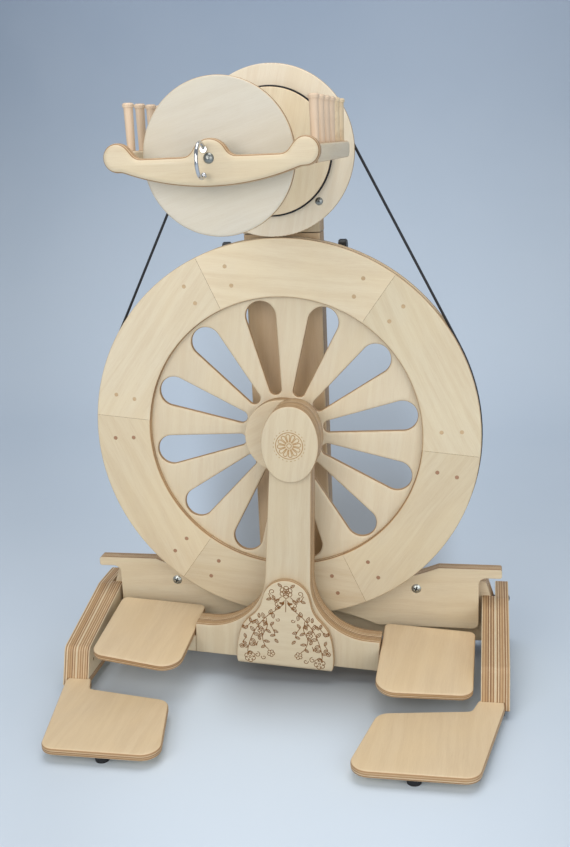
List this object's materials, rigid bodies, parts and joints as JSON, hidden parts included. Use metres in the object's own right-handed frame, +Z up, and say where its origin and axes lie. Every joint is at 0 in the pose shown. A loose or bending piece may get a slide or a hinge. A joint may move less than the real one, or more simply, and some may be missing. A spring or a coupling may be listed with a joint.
{
  "type": "spinning wheel",
  "caption": "Upright double-treadle spinning wheel in birch plywood: ring wheel, rocking T treadle, drive band, flyer and bobbin on a post with side rails.",
  "frame": {"origin": "bottom centre of the bounding box: on the floor, midway between the two rails, midway between the orifice hook and the rear ends of the rails", "axes": "+Z up; the spinner sits on the -Y side and the orifice hook points to -Y; +X is the spinner's left-to-right as seen from the front, across the wheel plane"},
  "size_m": [0.599, 0.439, 0.8062],
  "materials": {
    "birch": "pale birch plywood, oiled, striped ply edges",
    "birch_pad": "thin birch plywood, slightly warmer, clear sealed",
    "dowel_wood": "reddish brown hardwood dowel ends",
    "steel": "zinc-plated steel",
    "chrome": "bright chrome wire",
    "rubber": "matt black rubber",
    "band": "black polyurethane cord",
    "black_plastic": "satin black plastic"
  },
  "bodies": {
    "frame": {"post_front": "birch", "post_rear": "birch", "head_block": "birch", "head_dowels": "steel", "cross_beams": "birch", "panel": "birch", "rail_l_outer": "birch", "rail_l_inner": "birch", "rail_r_outer": "birch", "rail_r_inner": "birch", "heel_board_l": "birch_pad", "heel_board_r": "birch_pad", "rubber_feet": "rubber", "panel_screws": "steel", "rail_bolts": "black_plastic", "bearings": "steel", "pivot_pin": "steel", "drive_band": "band"},
    "knob_left": {"stud_l": "steel", "knob_l": "black_plastic"},
    "knob_right": {"stud_r": "steel", "knob_r": "black_plastic"},
    "drive_wheel": {"ring_seg_1": "birch", "ring_seg_2": "birch", "ring_seg_3": "birch", "ring_seg_4": "birch", "ring_seg_5": "birch", "ring_seg_6": "birch", "rear_ring": "birch", "rim_dowels": "dowel_wood", "spoke_plate": "birch", "crank_disc": "birch", "rear_hub": "birch", "axle": "steel", "axle_collar": "steel"},
    "flyer": {"flyer_shaft": "steel", "flyer_collar": "steel", "whorl_flange": "birch", "whorl_core": "birch", "whorl_back": "birch", "flyer_screws": "steel", "flyer_yoke": "birch", "flyer_arms": "birch", "yarn_pegs": "birch", "orifice_hook": "chrome"},
    "bobbin": {"bobbin_front": "birch", "bobbin_core": "birch", "bobbin_back": "birch", "bobbin_band": "rubber", "bobbin_bushes": "steel"},
    "rocker": {"rocker_front": "birch", "rocker_back": "birch", "bell_plate": "birch", "oval_cap": "birch", "crank_pin": "steel", "crank_bearing": "steel", "toe_arms": "birch", "toe_pad_l": "birch_pad", "toe_pad_r": "birch_pad"}
  },
  "joints": [
    {"name": "wheel_spin", "type": "hinge", "parent": "frame", "child": "drive_wheel", "pos_m": [0, 0.127, 0.336], "axis": [0, 1, 0], "continuous": true},
    {"name": "flyer_spin", "type": "hinge", "parent": "frame", "child": "flyer", "pos_m": [0, 0.127, 0.7015], "axis": [0, 1, 0], "continuous": true},
    {"name": "bobbin_spin", "type": "hinge", "parent": "flyer", "child": "bobbin", "pos_m": [0, -0.0165, 0.7015], "axis": [0, 1, 0], "continuous": true},
    {"name": "rocker_tilt", "type": "hinge", "parent": "frame", "child": "rocker", "pos_m": [0, 0.0835, 0.042], "axis": [0, 1, 0], "range_deg": [-7.2, 0]},
    {"name": "knob_left_turn", "type": "hinge", "parent": "frame", "child": "knob_left", "pos_m": [-0.06, 0.1805, 0.576], "axis": [1, 0, 0], "continuous": true},
    {"name": "knob_right_turn", "type": "hinge", "parent": "frame", "child": "knob_right", "pos_m": [0.06, 0.1805, 0.576], "axis": [1, 0, 0], "continuous": true}
  ],
  "couplings": [
    {"joint": "flyer_spin", "follows": "wheel_spin", "ratio": 2.7754}
  ]
}
